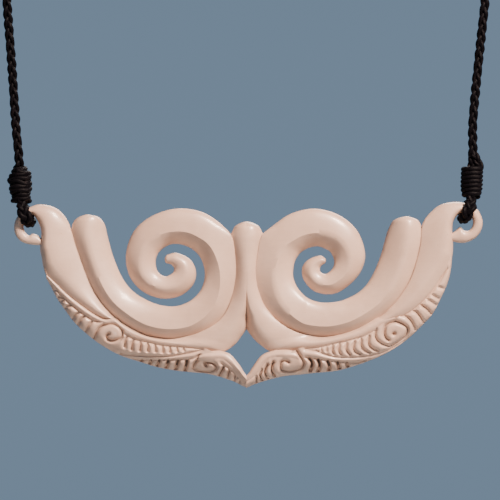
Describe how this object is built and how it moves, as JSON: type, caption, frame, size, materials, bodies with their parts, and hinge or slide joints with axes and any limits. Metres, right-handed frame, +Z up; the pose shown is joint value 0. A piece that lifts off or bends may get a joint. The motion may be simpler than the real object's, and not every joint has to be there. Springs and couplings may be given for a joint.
{
  "type": "koru breastplate pendant",
  "caption": "Wide carved bone breastplate pendant with koru spirals, ribbed lower border and side hooks, on a bound and plaited black neck cord.",
  "frame": {"origin": "where the loop hangs on the back of the wearer's neck, at the underside of the clasp", "axes": "+Z up, +X to the right as seen from the front, carved front faces -Y"},
  "size_m": [0.125, 0.008, 0.2097],
  "materials": {
    "bone": "polished bone, brown patina left in the cuts",
    "waxed_cord": "plaited waxed thread, low sheen"
  },
  "bodies": {
    "root": {"breastplate": "bone", "eye_left": "waxed_cord", "eye_right": "waxed_cord", "binding_left": "waxed_cord", "binding_right": "waxed_cord", "cord_left": "waxed_cord", "cord_right": "waxed_cord", "barrel_clasp": "bone"}
  },
  "joints": []
}
